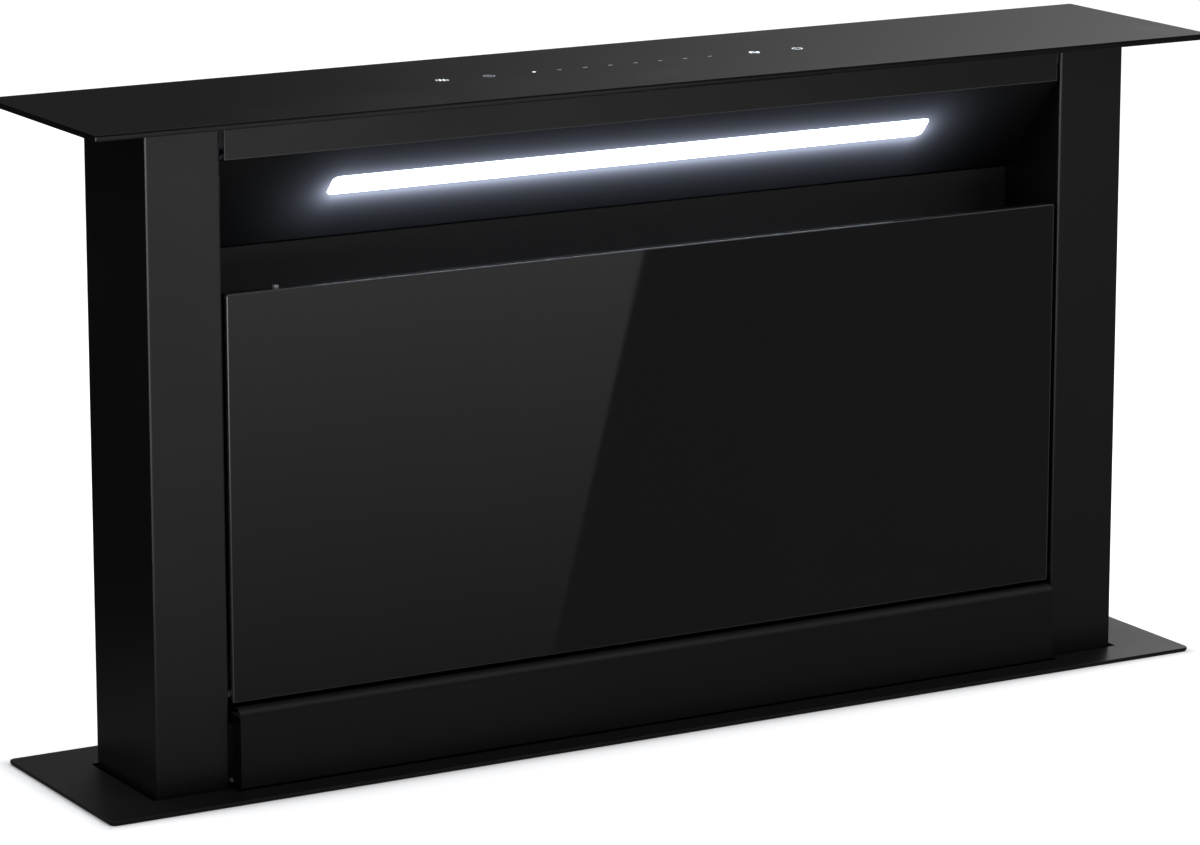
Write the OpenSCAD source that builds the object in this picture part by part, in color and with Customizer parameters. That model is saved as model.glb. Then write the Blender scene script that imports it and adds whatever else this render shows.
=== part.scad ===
// Pop-up range hood for a worktop cut-out. A tower rises through a trim flange,
// draws air in at a lit slot and hides again in a cassette below the worktop.
// Frame: x to the right, y to the back, z up, with z = 0 at the worktop's surface.

/* [Top cover] */
// Width of the glass cover
top_w = 880; // [860:5:900]
// Depth of the glass cover
top_d = 174; // [170:1:180]
// Thickness of the glass cover
top_t = 4.4; // [3:0.2:6]
// Height of the cover's upper face above the worktop when raised
rise = 462; // [440:2:480]
// How far the cover stands out in front of the columns
front_overhang = 35.5; // [32:0.5:38]

/* [Tower] */
// How far the cover stands out past the columns on each side
side_overhang = 51; // [46:0.5:56]
// Depth of the columns
tower_d = 96.5; // [95:0.5:98]
// Width of one column's front face
column_w = 54; // [50:1:60]
// Bend radius of the column's corners
column_r = 1.6; // [1.3:0.1:3]
// Length of the tower that stays below the worktop when raised
tail = 95; // [90:1:100]
// Sheet thickness of all panels
sheet = 1.2; // [1:0.1:1.5]

/* [Air slot] */
// Height of the header band
header_h = 26.5; // [20:0.5:32]
// Height of the open slot between header and glass door
slot_h = 90; // [80:1:100]
// Depth from the tower's front to the back wall of the air channel
channel_d = 68.1; // [64:0.1:72]
// Height that the sloping lamp panel drops
lamp_drop = 72.8; // [66:0.1:78]
// Length of the lamp
lamp_l = 478; // [420:2:520]
// Width of the lamp
lamp_w = 19; // [14:1:24]
// Corner radius of the lamp
lamp_r = 4; // [2:0.5:6]
// Distance of the lamp's middle from the header, along the slope
lamp_pos = 42.7; // [36:0.1:48]

/* [Front door and kick panel] */
// Gap between the columns and the pieces between them
side_gap = 3.35; // [3:0.05:5]
// Thickness of the door's glass
door_t = 4; // [3:0.5:4]
// How far the kick panel stands out in front of the columns
kick_out = 9.5; // [9:0.5:12]
// Height of the kick panel's top above the flange
kick_h = 56; // [50:1:64]
// Radius of the kick panel's rolled top edge
kick_r = 7; // [5:0.5:8]
// Gap between the kick panel and the glass door
door_gap = 2.2; // [2:0.1:3]
// Radius of the door's hinge pins
pin_r = 2.5; // [2:0.1:3]

/* [Grease filters] */
// Number of filters side by side
filter_count = 2; // [1:1:3]
// Thickness of a filter
filter_t = 9; // [7:0.5:10]
// Length of a filter along its slope
filter_l = 236; // [200:1:240]

/* [Flange] */
// How far the trim flange reaches past the columns on each side
flange_side = 49; // [44:0.5:60]
// How far the trim flange reaches in front of the columns
flange_front = 33.5; // [30:0.5:40]
// How far the trim flange reaches behind the columns
flange_rear = 40; // [36:0.5:50]
// Thickness of the trim flange
flange_t = 2; // [1.5:0.1:3]
// Thickness of the foam seal under the flange
seal_t = 1; // [0.6:0.1:2]
// Corner radius of the flange
flange_r = 5; // [2:0.5:10]
// Clearance of the cut-out round the tower
cut_gap = 4; // [3:0.5:4.5]

/* [Cassette] */
// Depth of the cassette below the worktop
cassette_h = 596; // [594:1:650]
// Room in front of the kick panel inside the cassette
front_room = 4; // [3:0.5:6]
// Room for the belts behind the tower
rear_room = 28; // [27.5:0.5:30]
// Width of a guide rail's channel
rail_w = 14; // [13:0.5:15]
// Depth of a guide rail
rail_d = 40; // [34:1:50]

/* [Lift drive] */
// Pitch radius of the belt pulleys
pulley_r = 9; // [8.5:0.25:9.5]
// Thickness of the belts
belt_t = 2; // [1.5:0.1:2]
// Width of the belts
belt_w = 12; // [9:1:16]
// Distance of each belt from the middle
belt_x = 250; // [180:5:280]
// Radius of the cross shaft
shaft_r = 4; // [3:0.5:5]
// Radius of the tubular lift motor
lift_motor_r = 11.5; // [10:0.5:12]
// Length of the tubular lift motor
lift_motor_l = 150; // [110:5:200]

/* [Blower] */
// Width of the blower case
blower_w = 340; // [330:5:400]
// Depth of the blower case
blower_d = 190; // [180:5:240]
// Height of the blower case
blower_h = 280; // [270:5:284]
// Outer radius of the impeller
wheel_r = 100; // [90:1:104]
// Width of the impeller
wheel_w = 66; // [50:1:80]
// Number of impeller blades
blade_count = 36; // [24:1:48]
// Outer radius of the duct collar, for a 150 mm duct
collar_r = 74.5; // [60:0.5:78]
// Length of the duct collar
collar_l = 60; // [50:1:80]

/* [Hidden] */
$fn = 64;
play = 0.3;
fit = 0.06;

// Heights
flange_z = seal_t + flange_t;
cover_z = rise - top_t;
header_z = cover_z - header_h;
door_top = header_z - slot_h;
kick_top = flange_z + kick_h;
door_bottom = kick_top + door_gap;
kick_low = flange_z + 0.5;
tower_low = -tail;
travel = cover_z - flange_z - 0.6;

// Widths
tower_x = top_w / 2 - side_overhang;
tower_w = 2 * tower_x;
flange_w = tower_w + 2 * flange_side;
column_in = tower_x - column_w;
between_x = column_in - side_gap;
kick_x = between_x - 0.65;
wall_x = column_in;

// Depths
front_y = -top_d / 2 + front_overhang;
rear_y = front_y + tower_d;
kick_y = front_y - kick_out;
wall_y = front_y + channel_d;
beam_y = front_y + 2;
flange_d = flange_front + tower_d + flange_rear;
flange_mid = (front_y - flange_front + rear_y + flange_rear) / 2;

// Glass door and its hinge
carrier_y = front_y + door_t;
carrier_d = 8;
hinge_y = carrier_y + carrier_d / 2 + play;
hinge_z = door_bottom + 5;
latch_inset = 43;
latch_x = column_in - latch_inset;
latch_r = 2.2;

// Sloping lamp panel: from the header's lower back edge to the top of the back wall
slope_y = front_y + sheet + play;
slope_z = header_z + sheet;
slope_end_z = header_z - lamp_drop;
slope_l = norm([wall_y - slope_y, slope_z - slope_end_z]);
slope_a = atan2(slope_z - slope_end_z, wall_y - slope_y);
lamp_t = 3;

// Filters: they lean from the front at their foot to the back wall at their head
filter_foot_y = carrier_y + carrier_d + 7;
filter_foot_z = door_bottom + 14;
filter_lean = asin((wall_y - filter_t - 6 - filter_foot_y) / filter_l);
filter_gap = 2;
filter_w = (2 * wall_x - 6 - (filter_count - 1) * filter_gap) / filter_count;
filter_rim = 9;

// Cassette walls
cassette_low = -cassette_h;
box_front = kick_y - front_room;
box_rear = rear_y + rear_room;
rail_gap = 1.8;
rail_wall = 1.6;
rail_lip = 10;
box_x = tower_x + rail_gap + rail_w;
side_top = seal_t;
inlet_r = wheel_r - 26;

// Belts and shafts
belt_y = box_rear - pulley_r - belt_t / 2 - 3.5;
drive_z = cassette_low + 31;
idler_z = -34;
axle_r = 3;
clamp_low = tower_low + 5;
clamp_h = 26;

// Blower
blower_front = box_front - sheet - blower_d;
blower_low = cassette_low + 8;
fan_z = blower_low + blower_h / 2;
fan_y = box_front - sheet - 8;
fan_shaft_r = 4;
motor_r = 44;
collar_t = 1.4;
collar_y = box_front - sheet - blower_d / 2;
flap_x = blower_w / 2 + 22;
flap_t = 1.2;
flap_pin_r = 2;
flap_r = collar_r - collar_t - 1;

// Electronics
power_w = 130;
power_d = 46;
power_h = 180;
power_x = blower_w / 2 + 40;
power_z = -cassette_h / 2;
board_w = 350;
board_d = 44;
board_t = 1.6;

// Mounting
clamp_x = 300;
bracket_x = 300;
bracket_hole_r = 3.25;
bracket_d = 40;
bracket_w = 50;

// Finishes
black = "#1b1a1b";
glass = "#0d0d0f";
steel = "#a9acae";
zinc = "#b9bcbd";
alloy = "#c3c6c8";
dark = "#2b2c2e";
belt_black = "#161616";
lamp_white = "#f4f8ff";

// A box between two values on each axis
module span(x, y, z) {
    translate([x[0], y[0], z[0]]) cube([x[1] - x[0], y[1] - y[0], z[1] - z[0]]);
}

// A rectangle about the origin with round corners
module round_rect(w, d, r) {
    square([w - 2 * r, d], center = true);
    square([w, d - 2 * r], center = true);
    for (x = [-1, 1], y = [-1, 1]) translate([x * (w / 2 - r), y * (d / 2 - r)]) circle(r);
}

// A cylinder along x from x0 to x1
module rod_x(r, x0, x1, y, z) {
    translate([x0, y, z]) rotate([0, 90, 0]) cylinder(r = r, h = x1 - x0);
}

// A cylinder along y from y0 to y1
module rod_y(r, y0, y1, x, z) {
    translate([x, y0, z]) rotate([-90, 0, 0]) cylinder(r = r, h = y1 - y0);
}

// Extrudes a profile drawn as (y, z) along x
module along_x(x0, x1) {
    translate([x0, 0, 0]) rotate([90, 0, 90]) linear_extrude(x1 - x0) children();
}

module mirrored() {
    children();
    mirror([1, 0, 0]) children();
}

// Fixed pieces round the worktop

// The hole through which the tower and its kick panel pass
module tower_hole(grow) {
    translate([0, (front_y + rear_y) / 2])
        square([tower_w + 2 * grow, tower_d + 2 * (grow - 2)], center = true);
    translate([-kick_x - grow + 1, kick_y - grow / 2]) square([2 * (kick_x + grow - 1), kick_out + grow]);
}

module flange() {
    color(black) translate([0, 0, seal_t]) linear_extrude(flange_t) difference() {
        translate([0, flange_mid]) round_rect(flange_w, flange_d, flange_r);
        tower_hole(cut_gap);
    }
}

module flange_seal() {
    seal_in = 6;
    color(dark) linear_extrude(seal_t) difference() {
        translate([0, flange_mid]) round_rect(flange_w - 2, flange_d - 2, flange_r - 1);
        translate([-box_x - seal_in, box_front - 3]) square([2 * (box_x + seal_in), box_rear - box_front + 6]);
    }
}

module cassette_wall(y0) {
    span([-box_x, box_x], [y0, y0 + sheet], [cassette_low, side_top]);
}

module cassette_front() {
    color(zinc) difference() {
        cassette_wall(box_front - sheet);
        rod_y(inlet_r, box_front - 2 * sheet, box_front + sheet, 0, fan_z);
    }
}

module cassette_rear() {
    color(zinc) cassette_wall(box_rear);
}

// A side wall, with its lip that carries the flange
module cassette_side() {
    color(zinc) {
        span([box_x, box_x + sheet], [box_front - sheet, box_rear + sheet], [cassette_low, side_top]);
        span([box_x + sheet, box_x + 5], [box_front, box_rear], [side_top - sheet, side_top]);
    }
}

module cassette_side_right() cassette_side();

module cassette_side_left() mirror([1, 0, 0]) cassette_side();

module cassette_base() {
    color(zinc) span([-box_x, box_x], [box_front, box_rear], [cassette_low, cassette_low + sheet]);
}

// A C-shaped rail, open towards the tower
module guide_rail() {
    color(steel) difference() {
        span([box_x - rail_w, box_x], [-rail_d / 2, rail_d / 2], [cassette_low + 20, -8]);
        span([box_x - rail_w + rail_wall, box_x - rail_wall], [-rail_d / 2 + rail_wall, rail_d / 2 - rail_wall],
             [cassette_low, 0]);
        span([box_x - rail_w - 1, box_x - rail_w + 2 * rail_wall], [-rail_d / 2 + rail_lip, rail_d / 2 - rail_lip],
             [cassette_low, 0]);
    }
}

module guide_rail_right() guide_rail();

module guide_rail_left() mirror([1, 0, 0]) guide_rail();

// Angle clamps with a screw each, which press against the worktop from below
module worktop_clamps() {
    arm = 22;
    drop = 58;
    screw_r = 2.5;
    color(steel) for (x = [-clamp_x, clamp_x], side = [0, 1])
        translate([x, side ? box_rear + sheet : box_front - sheet, 0]) mirror([0, side ? 0 : 1, 0]) {
            difference() {
                union() {
                    span([-15, 15], [0, 2], [-drop - 30, -drop]);
                    span([-15, 15], [0, arm], [-drop - 2, -drop]);
                }
                translate([0, arm / 2 + 2, -drop - 3]) cylinder(r = screw_r, h = 4);
            }
            translate([0, arm / 2 + 2, -drop - 24]) {
                cylinder(r = screw_r, h = 40);
                translate([0, 0, 40]) cylinder(r = 7, h = 2);
                cylinder(r = 4.5, h = 4, $fn = 6);
            }
        }
}

// Feet that bolt the cassette to the cabinet's floor
module cabinet_brackets() {
    color(steel) for (x = [-bracket_x, bracket_x]) translate([x, box_rear + sheet, cassette_low]) difference() {
        union() {
            span([-bracket_w / 2, bracket_w / 2], [0, 2], [0, 50]);
            span([-bracket_w / 2, bracket_w / 2], [0, bracket_d], [0, 2]);
        }
        translate([0, bracket_d / 2, -1]) cylinder(r = bracket_hole_r, h = 4);
    }
}

// Pan-head screws that hold the cassette's sides
module cassette_screws() {
    head_r = 3.6;
    color(steel) for (side = [-1, 1], y = [box_front + 10, box_rear - 10], n = [0:4])
        rod_x(head_r, side > 0 ? box_x + sheet : -box_x - sheet - 2, side > 0 ? box_x + sheet + 2 : -box_x - sheet,
              y, cassette_low + 40 + n * (cassette_h - 90) / 4);
}

// Lift drive

module shaft_bearings() {
    color(dark) mirrored() difference() {
        span([belt_x + 26, belt_x + 40], [belt_y - 9, box_rear], [drive_z - 11, drive_z + 11]);
        rod_x(shaft_r + fit, belt_x + 25, belt_x + 41, belt_y, drive_z);
    }
}

module cross_shaft() {
    color(steel) {
        rod_x(shaft_r, lift_motor_l / 2 + play, belt_x + 46, belt_y, drive_z);
        rod_x(shaft_r, -belt_x - 46, -lift_motor_l / 2 - play, belt_y, drive_z);
    }
}

// A pulley with two side flanges and a bore
module pulley(x, z, bore_r) {
    flange_h = 1.2;
    groove_r = pulley_r - belt_t / 2;
    difference() {
        union() {
            rod_x(groove_r - play / 2, x - belt_w / 2 - play, x + belt_w / 2 + play, belt_y, z);
            for (end = [x - belt_w / 2 - play - flange_h, x + belt_w / 2 + play])
                rod_x(pulley_r + belt_t / 2, end, end + flange_h, belt_y, z);
        }
        rod_x(bore_r, x - belt_w, x + belt_w, belt_y, z);
    }
}

module drive_pulleys() {
    color(alloy) {
        pulley(belt_x, drive_z, shaft_r);
        pulley(-belt_x, drive_z, shaft_r);
    }
}

module idler_right() color(alloy) pulley(belt_x, idler_z, axle_r + fit);

module idler_left() color(alloy) pulley(-belt_x, idler_z, axle_r + fit);

// Forks on the rear wall with the idlers' axles
module idler_brackets() {
    inner = belt_w / 2 + 2.2;
    color(steel) for (x = [-belt_x, belt_x]) {
        for (side = [-1, 1])
            span([x + (side > 0 ? inner : -inner - 2), x + (side > 0 ? inner + 2 : -inner)],
                 [belt_y - 6, box_rear], [idler_z - 8, idler_z + 8]);
        rod_x(axle_r, x - inner - 3, x + inner + 3, belt_y, idler_z);
    }
}

// A closed belt loop between its two pulleys
module belt(x) {
    color(belt_black) along_x(x - belt_w / 2, x + belt_w / 2) difference() {
        belt_outline(pulley_r + belt_t / 2);
        belt_outline(pulley_r - belt_t / 2);
    }
}

module belt_outline(r) {
    for (z = [drive_z, idler_z]) translate([belt_y, z]) circle(r);
    translate([belt_y - r, drive_z]) square([2 * r, idler_z - drive_z]);
}

module belt_right() belt(belt_x);

module belt_left() belt(-belt_x);

module lift_motor() {
    foot = 8;
    color(dark) {
        rod_x(lift_motor_r, -lift_motor_l / 2, lift_motor_l / 2, belt_y, drive_z);
        for (x = [-lift_motor_l / 2 + 14, lift_motor_l / 2 - 14])
            span([x - foot, x + foot], [belt_y - 4, belt_y + 4], [cassette_low + sheet, drive_z]);
    }
}

// Power supply and relay box on the cassette's front wall
module power_box() {
    color(dark) span([power_x, power_x + power_w], [box_front - sheet - power_d, box_front - sheet],
                     [power_z, power_z + power_h]);
}

// Cable gland of the mains lead, under the power box
module mains_inlet() {
    color(dark) translate([power_x + 30, box_front - sheet - power_d / 2, power_z]) mirror([0, 0, 1]) difference() {
        union() {
            cylinder(r = 11, h = 5, $fn = 6);
            cylinder(r = 8, h = 16);
        }
        translate([0, 0, -1]) cylinder(r = 4, h = 18);
    }
}

// Blower

module blower_case() {
    half = blower_w / 2;
    back = box_front - sheet;
    color(zinc) difference() {
        span([-half, half], [blower_front, back], [blower_low, blower_low + blower_h]);
        span([-half + sheet, half - sheet], [blower_front - 1, back - sheet],
             [blower_low + sheet, blower_low + blower_h - sheet]);
        rod_y(inlet_r, back - 2 * sheet, back + sheet, 0, fan_z);
        rod_x(collar_r - collar_t, half - 2 * sheet, half + sheet, collar_y, fan_z);
    }
}

module blower_cover() {
    half = blower_w / 2;
    color(zinc) span([-half, half], [blower_front - sheet, blower_front], [blower_low, blower_low + blower_h]);
}

// Radius of the scroll's wall at an angle from its tongue
function scroll_r(angle) = wheel_r + 6 + 24 * angle / 270;

// Spiral wall round the impeller, open towards the duct collar
module scroll() {
    steps = 36;
    start = 70;
    turn = 270;
    angles = [for (i = [0:steps]) turn * i / steps];
    outer = [for (a = angles) (scroll_r(a) + sheet) * [cos(start + a), sin(start + a)]];
    inner = [for (i = [steps:-1:0]) scroll_r(angles[i]) * [cos(start + angles[i]), sin(start + angles[i])]];
    color(zinc) translate([0, box_front - 2 * sheet, fan_z]) rotate([90, 0, 0])
        linear_extrude(blower_d - sheet) polygon(concat(outer, inner));
}

module inlet_ring() {
    back = box_front - sheet;
    color(dark) difference() {
        rod_y(inlet_r - play, back - 9, box_front + 2, 0, fan_z);
        rod_y(inlet_r - 3, back - 10, box_front + 3, 0, fan_z);
    }
}

module fan_motor() {
    color(dark) difference() {
        rod_y(motor_r, blower_front, fan_y - wheel_w + 8, 0, fan_z);
        rod_y(fan_shaft_r + fit, blower_front + 40, fan_y, 0, fan_z);
    }
}

module fan_shaft() {
    color(steel) rod_y(fan_shaft_r, blower_front + 41, fan_y - wheel_w + 22, 0, fan_z);
}

// A wheel with forward-curved blades between a back disc and a front ring
module impeller() {
    disc_t = 2;
    blade_l = 24;
    back = fan_y - wheel_w + 14;
    color(dark) difference() {
        union() {
            rod_y(wheel_r, back, back + disc_t, 0, fan_z);
            rod_y(14, back, back + 12, 0, fan_z);
            difference() {
                rod_y(wheel_r, fan_y - 3, fan_y - 1, 0, fan_z);
                rod_y(wheel_r - blade_l, fan_y - 4, fan_y, 0, fan_z);
            }
            translate([0, 0, fan_z]) for (n = [0:blade_count - 1]) rotate([0, n * 360 / blade_count, 0])
                translate([wheel_r - blade_l + 1, back + 1, 0]) rotate([0, 22, 0])
                    cube([blade_l - 3, fan_y - 2 - back - 1, 1.2]);
        }
        rod_y(fan_shaft_r, back - 1, back + 13, 0, fan_z);
    }
}

// Round spigot for the duct, with a flat ring that screws to the case
module duct_collar() {
    base = blower_w / 2;
    color(dark) difference() {
        union() {
            rod_x(collar_r, base, base + collar_l, collar_y, fan_z);
            rod_x(collar_r + 12, base, base + 2, collar_y, fan_z);
        }
        rod_x(collar_r - collar_t, base - 1, base + collar_l + 1, collar_y, fan_z);
    }
}

// Upright pin across the collar, on which both flaps turn
module flap_pin() {
    reach = collar_r - collar_t;
    color(steel) translate([flap_x, collar_y, fan_z - reach + 0.1]) cylinder(r = flap_pin_r, h = 2 * reach - 0.2);
}

// Half of the non-return damper, with two barrels round the pin
module flap(barrels) {
    knuckle_h = 14;
    knuckle_r = 3.6;
    difference() {
        union() {
            intersection() {
                translate([-2, 0, 0]) rotate([0, 90, 0]) cylinder(r = flap_r, h = flap_t);
                span([-3, 3], [knuckle_r + 0.6, flap_r], [-flap_r, flap_r]);
            }
            for (z = barrels) {
                translate([0, 0, z]) cylinder(r = knuckle_r, h = knuckle_h);
                span([-2, -2 + flap_t], [0, knuckle_r + 1.6], [z, z + knuckle_h]);
            }
        }
        translate([0, 0, -flap_r]) cylinder(r = flap_pin_r + fit, h = 2 * flap_r);
    }
}

module flap_rear() color(dark) translate([flap_x, collar_y, fan_z]) flap([26, -40]);

module flap_front() color(dark) translate([flap_x, collar_y, fan_z]) mirror([0, 1, 0]) flap([10, -56]);

// Tower

module top_glass() {
    color(glass) translate([0, 0, cover_z]) linear_extrude(top_t) round_rect(top_w, top_d, 1.5);
}

// Shallow steel tray that the glass is bonded to
module top_tray() {
    depth = 14;
    color(black) difference() {
        span([-wall_x, wall_x], [front_y + sheet + play, rear_y - sheet - play], [cover_z - depth, cover_z]);
        span([-wall_x + sheet, wall_x - sheet], [front_y + 2 * sheet + play, rear_y - 2 * sheet - play],
             [cover_z - depth - 1, cover_z - sheet]);
    }
}

module touch_board() {
    color("#1f5a3a") span([-board_w / 2, board_w / 2], [-board_d / 2, board_d / 2],
                          [cover_z - sheet - board_t, cover_z - sheet]);
}

// Printed touch marks on the glass: two keys, a row of eight speed marks and two keys
module control_marks() {
    mark_t = 0.06;
    pitch = 20.2;
    marks = 8;
    key_x = [-141.5, -105, 108.2, 143.9];
    color(lamp_white) translate([0, 0, rise]) {
        for (x = key_x) translate([x, 0.5, 0]) difference() {
            cylinder(r = 5, h = mark_t);
            translate([0, 0, -1]) cylinder(r = 4, h = 2);
        }
        for (n = [0:marks - 1]) translate([-69.7 + n * pitch, 0.5, 0]) cylinder(r = 1.6, h = mark_t, $fn = 24);
    }
}

// A closed sheet-metal post with bent corners
module column() {
    mid_x = tower_x - column_w / 2;
    color(black) difference() {
        translate([mid_x, (front_y + rear_y) / 2, tower_low]) linear_extrude(cover_z - tower_low) difference() {
            round_rect(column_w, tower_d, column_r);
            square([column_w - 2 * sheet, tower_d - 2 * sheet], center = true);
        }
        rod_x(pin_r + fit, column_in - 1, column_in + sheet + 1, hinge_y, hinge_z);
    }
}

module right_column() column();

module left_column() mirror([1, 0, 0]) column();

// Band under the cover, folded back along its lower edge
module header_panel() {
    fold = 3;
    color(black) {
        span([-between_x, between_x], [front_y, front_y + sheet], [header_z, cover_z]);
        span([-between_x, between_x], [front_y + sheet, front_y + fold], [header_z, header_z + sheet]);
    }
}

// Places children on the slope: x stays, y runs down the slope, z points up and back from it
module on_slope() {
    translate([0, slope_y, slope_z + 0.4]) rotate([-slope_a, 0, 0]) children();
}

module lamp_panel() {
    start = 3.2;
    color(black) on_slope() difference() {
        span([-wall_x, wall_x], [start, slope_l - 1.5], [0, sheet]);
        translate([0, lamp_pos, -1]) linear_extrude(sheet + 2)
            round_rect(lamp_l + 2 * play, lamp_w + 2 * play, lamp_r + play);
    }
}

module lamp_lens() {
    rim = 3;
    color(lamp_white) on_slope() translate([0, lamp_pos, 0]) {
        linear_extrude(sheet + 1) round_rect(lamp_l, lamp_w, lamp_r);
        translate([0, 0, sheet]) linear_extrude(lamp_t) round_rect(lamp_l + 2 * rim, lamp_w + 2 * rim, lamp_r + rim);
    }
}

module led_board() {
    count = 24;
    color(alloy) on_slope() {
        span([-lamp_l / 2, lamp_l / 2], [lamp_pos - 6, lamp_pos + 6], [sheet + lamp_t + 1, sheet + lamp_t + 2.6]);
        for (n = [0:count - 1]) translate([(n + 0.5) * lamp_l / count - lamp_l / 2, lamp_pos, sheet + lamp_t])
            span([-1.4, 1.4], [-1.4, 1.4], [0.1, 1]);
    }
}

// Back wall of the air channel, with a ledge for the filters' heads
module back_wall() {
    ledge_z = filter_foot_z + filter_l * cos(filter_lean) + 6;
    color(black) {
        span([-wall_x, wall_x], [wall_y, wall_y + sheet], [tower_low + 10, slope_end_z]);
        span([-wall_x, wall_x], [wall_y - 5, wall_y], [ledge_z, ledge_z + sheet]);
    }
}

module rear_cover() {
    fold = 10;
    color(black) {
        span([-wall_x, wall_x], [rear_y - sheet, rear_y], [tower_low, cover_z - 0.2]);
        for (z = [tower_low, cover_z - 40])
            span([-wall_x, wall_x], [rear_y - fold, rear_y - sheet], [z, z + sheet]);
    }
}

// Pan-head screws along the rear cover's edges
module rear_screws() {
    rows = 5;
    color(steel) for (x = [-wall_x + 8, wall_x - 8], n = [0:rows - 1])
        rod_y(3, rear_y, rear_y + 1.6, x, 30 + n * (cover_z - 60) / (rows - 1));
}

// Front panel below the door: its top edge rolls back and its ends fold towards the tower
module kick_panel() {
    roll_z = kick_top - kick_r;
    roll_y = kick_y + kick_r;
    lip_y = front_y - 1.2;
    color(black) {
        along_x(-kick_x, kick_x) {
            translate([kick_y, kick_low]) square([sheet, roll_z - kick_low]);
            intersection() {
                difference() {
                    translate([roll_y, roll_z]) circle(kick_r);
                    translate([roll_y, roll_z]) circle(kick_r - sheet);
                }
                translate([kick_y, roll_z]) square([kick_r, kick_r]);
            }
            translate([roll_y, kick_top - sheet]) square([lip_y - roll_y, sheet]);
        }
        for (x = [-kick_x, kick_x - sheet])
            span([x, x + sheet], [kick_y, beam_y], [kick_low, kick_top - kick_r - 1]);
    }
}

// Cross-member that ties the columns and closes the tower's front below the door
module lower_beam() {
    color(black) {
        span([-wall_x, wall_x], [beam_y, beam_y + sheet], [tower_low, kick_top - 12]);
        span([-wall_x, wall_x], [beam_y, beam_y + 10], [tower_low, tower_low + sheet]);
    }
}

module drip_tray() {
    depth = 16;
    tray_y = [beam_y + sheet, beam_y + 30];
    tray_z = [kick_top - 30, kick_top - 30 + depth];
    color(steel) difference() {
        span([-wall_x + 16, wall_x - 16], tray_y, tray_z);
        span([-wall_x + 17, wall_x - 17], [tray_y[0] + 1, tray_y[1] - 1], [tray_z[0] + 1, tray_z[1] + 1]);
    }
}

// Rail between the columns that the filters stand on
module filter_rail() {
    rail_top = filter_foot_z - filter_t * sin(filter_lean) - play;
    color(steel) {
        span([-wall_x, wall_x], [filter_foot_y - 3, filter_foot_y + filter_t + 3], [rail_top - 1.6, rail_top]);
        span([-wall_x, wall_x], [filter_foot_y - 3, filter_foot_y - 1.8], [rail_top - 1.6, filter_foot_z + 5]);
    }
}

// Places children on each filter: x along its width, z up its slope
module each_filter() {
    for (n = [0:filter_count - 1])
        translate([-wall_x + 3 + n * (filter_w + filter_gap), filter_foot_y, filter_foot_z])
            rotate([-filter_lean, 0, 0]) children();
}

module filter_frames() {
    grip_w = 70;
    color(alloy) each_filter() {
        difference() {
            cube([filter_w, filter_t, filter_l]);
            translate([filter_rim, -1, filter_rim])
                cube([filter_w - 2 * filter_rim, filter_t + 2, filter_l - 2 * filter_rim]);
        }
        translate([filter_w / 2, 0, filter_l - filter_rim / 2]) {
            for (x = [-grip_w / 2, grip_w / 2]) rod_y(1.5, -8, 0.2, x, 0);
            rod_x(1.5, -grip_w / 2 - 1.5, grip_w / 2 + 1.5, -8, 0);
        }
    }
}

// Layered expanded mesh held in each frame, drawn as a plate with ribs
module filter_mesh() {
    rib = 3;
    open_w = filter_w - 2 * filter_rim - 2 * play;
    open_l = filter_l - 2 * filter_rim - 2 * play;
    ribs = floor(open_w / 12);
    color(steel) each_filter() translate([filter_rim + play, 2, filter_rim + play]) {
        translate([0, 1.5, 0]) cube([open_w, filter_t - 7, open_l]);
        for (n = [0:ribs - 1]) translate([n * open_w / ribs + rib, 0.5, 0]) cube([rib, filter_t - 5, open_l]);
    }
}

// Sliding blocks at the columns' feet that run in the guide rails
module glide_shoes() {
    shoe_h = 24;
    head = rail_d / 2 - rail_wall - play;
    neck = rail_d / 2 - rail_lip - play;
    head_x = box_x - rail_w + rail_wall + play;
    color("#d8d8d4") mirrored() for (z = [tower_low + 4, -24 - shoe_h]) {
        span([tower_x, head_x + 1], [-neck, neck], [z, z + shoe_h]);
        span([head_x, box_x - rail_wall - play], [-head, head], [z, z + shoe_h]);
    }
}

// Clamps that hold each belt's front run to the tower
module belt_clamps() {
    run_y = belt_y - pulley_r;
    cheek = 5;
    half = belt_w / 2 + play + cheek;
    color(steel) for (x = [-belt_x, belt_x]) difference() {
        span([x - half, x + half], [rear_y, run_y + belt_t / 2 + play + 3], [clamp_low, clamp_low + clamp_h]);
        span([x - belt_w / 2 - play, x + belt_w / 2 + play],
             [run_y - belt_t / 2 - play, run_y + belt_t / 2 + play], [clamp_low - 1, clamp_low + clamp_h + 1]);
    }
}

// Small bright screws beside the kick panel's feet
module foot_screws() {
    head_r = 1.4;
    gap_x = (kick_x + column_in) / 2;
    color(alloy) for (x = [-gap_x, gap_x]) rod_y(head_r, beam_y - 1.2, beam_y, x, kick_low + 4);
}

// Glass door

module door_glass() {
    color(glass) translate([0, front_y + door_t, 0]) rotate([90, 0, 0]) linear_extrude(door_t)
        translate([0, (door_bottom + door_top) / 2]) round_rect(2 * between_x, door_top - door_bottom, 1);
}

// Steel frame bonded behind the glass, with ears for the hinge pins
module door_carrier() {
    inset = 1;
    flat = 26;
    x = between_x - inset;
    color(black) difference() {
        span([-x, x], [carrier_y, carrier_y + carrier_d], [door_bottom + 1, door_top - inset]);
        span([-x + sheet, x - sheet], [carrier_y + sheet, carrier_y + carrier_d + 1],
             [door_bottom + 1 + sheet, door_top - inset - sheet]);
        span([-x + flat, x - flat], [carrier_y - 1, carrier_y + 2 * sheet],
             [door_bottom + flat, door_top - flat]);
        for (side = [-1, 1]) rod_x(pin_r, side > 0 ? x - 2 * sheet : -x - sheet, side > 0 ? x + sheet : -x + 2 * sheet,
                                   hinge_y, hinge_z);
    }
}

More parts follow.
